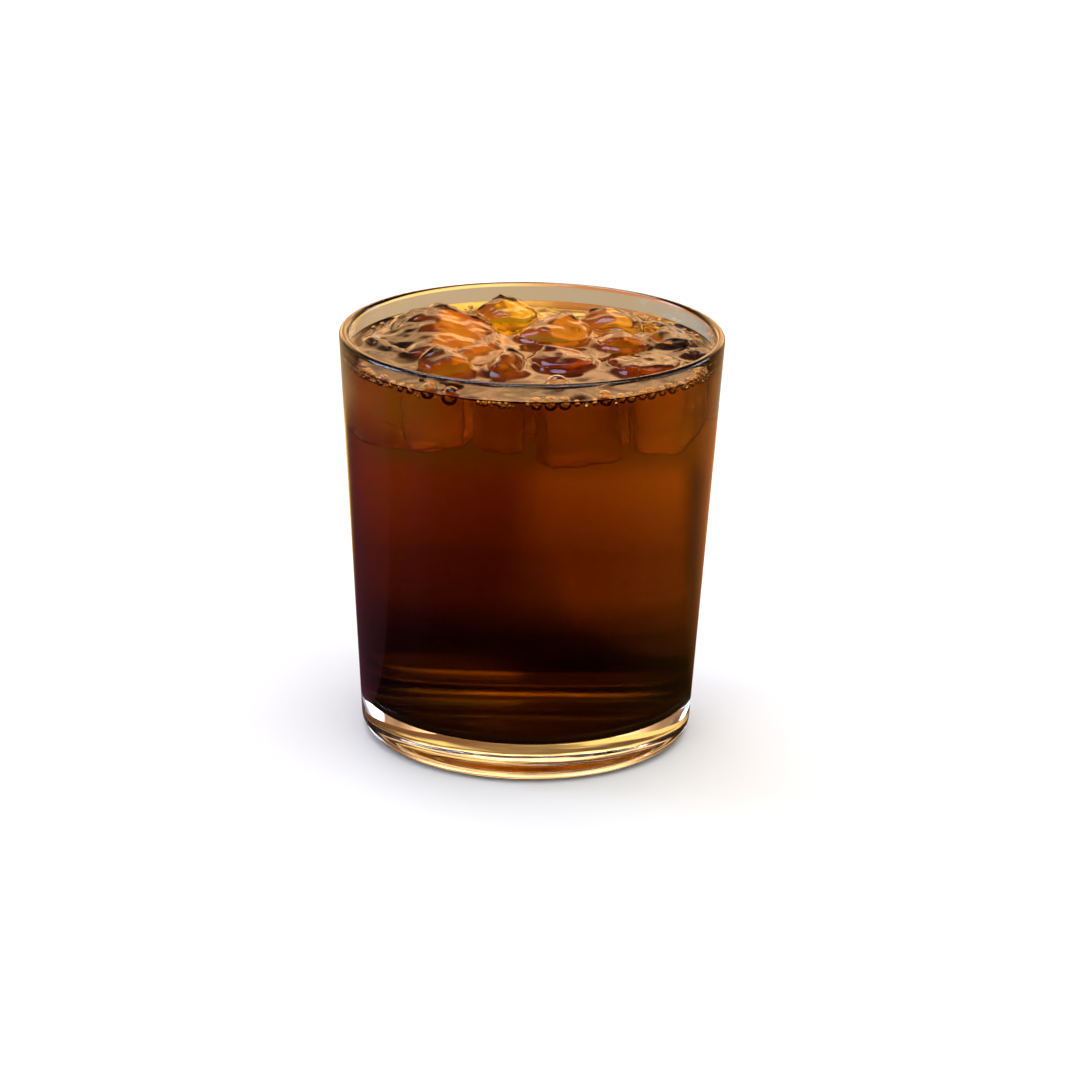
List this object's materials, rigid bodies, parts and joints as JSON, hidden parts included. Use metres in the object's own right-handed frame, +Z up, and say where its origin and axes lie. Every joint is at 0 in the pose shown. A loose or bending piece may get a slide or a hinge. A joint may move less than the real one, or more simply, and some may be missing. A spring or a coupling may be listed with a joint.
{
  "type": "iced drip coffee in a tumbler",
  "caption": "Clear tumbler with a thick base and slightly flared wall, filled nearly to the brim with dark coffee and floating ice.",
  "frame": {"origin": "centre of the underside of the glass, on the surface it stands on", "axes": "+Z up along the axis of the glass, -Y towards the viewer of the picture, +X to the right in the picture"},
  "size_m": [0.085, 0.085, 0.0925],
  "materials": {
    "glass": "clear, polished",
    "coffee": "dark translucent brown liquid, wet gloss",
    "ice": "clear melting ice, wet gloss"
  },
  "bodies": {
    "root": {"glass": "glass", "coffee": "coffee", "ice_ridge": "ice", "ice_gold": "ice", "ice_peach": "ice", "ice_amber": "ice", "ice_brown": "ice", "ice_olive": "ice", "ice_shard": "ice", "ice_chip": "ice", "ice_dome": "ice", "ice_point": "ice", "ice_dark": "ice", "ice_flat": "ice"}
  },
  "joints": []
}
